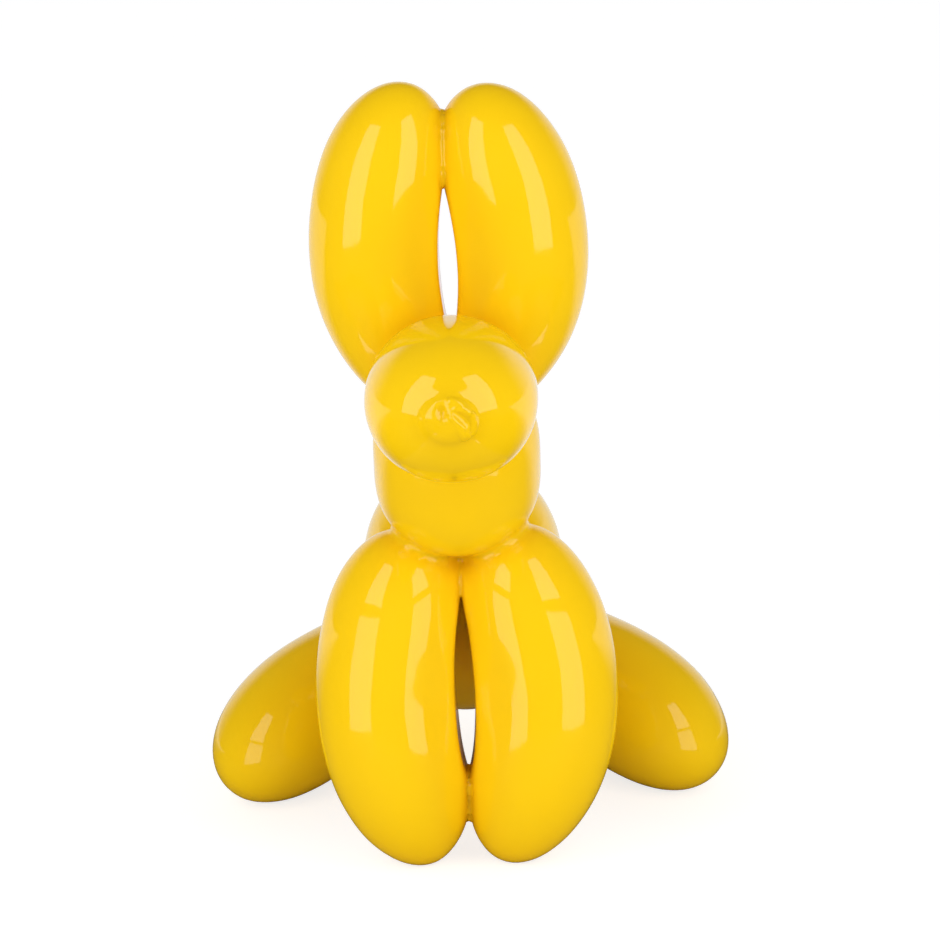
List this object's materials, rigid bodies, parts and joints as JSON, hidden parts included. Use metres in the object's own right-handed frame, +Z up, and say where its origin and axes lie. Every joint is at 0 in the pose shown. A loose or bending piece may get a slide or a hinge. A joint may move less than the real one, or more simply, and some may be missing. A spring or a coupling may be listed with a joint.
{
  "type": "sitting balloon dog ornament",
  "caption": "Cast resin ornament of a sitting dog twisted from a balloon, with upright ears, a knotted snout, splayed hind legs and a short tail.",
  "frame": {"origin": "middle of the bottom of the box, on the floor between the forefeet and the hind feet", "axes": "+Z up, -Y the way the dog faces, +X towards the dog's left side"},
  "size_m": [0.3374, 0.4478, 0.4807],
  "materials": {
    "yellow_resin": "bright yellow cast resin under a clear glossy lacquer"
  },
  "bodies": {
    "root": {"balloon_dog": "yellow_resin"}
  },
  "joints": []
}
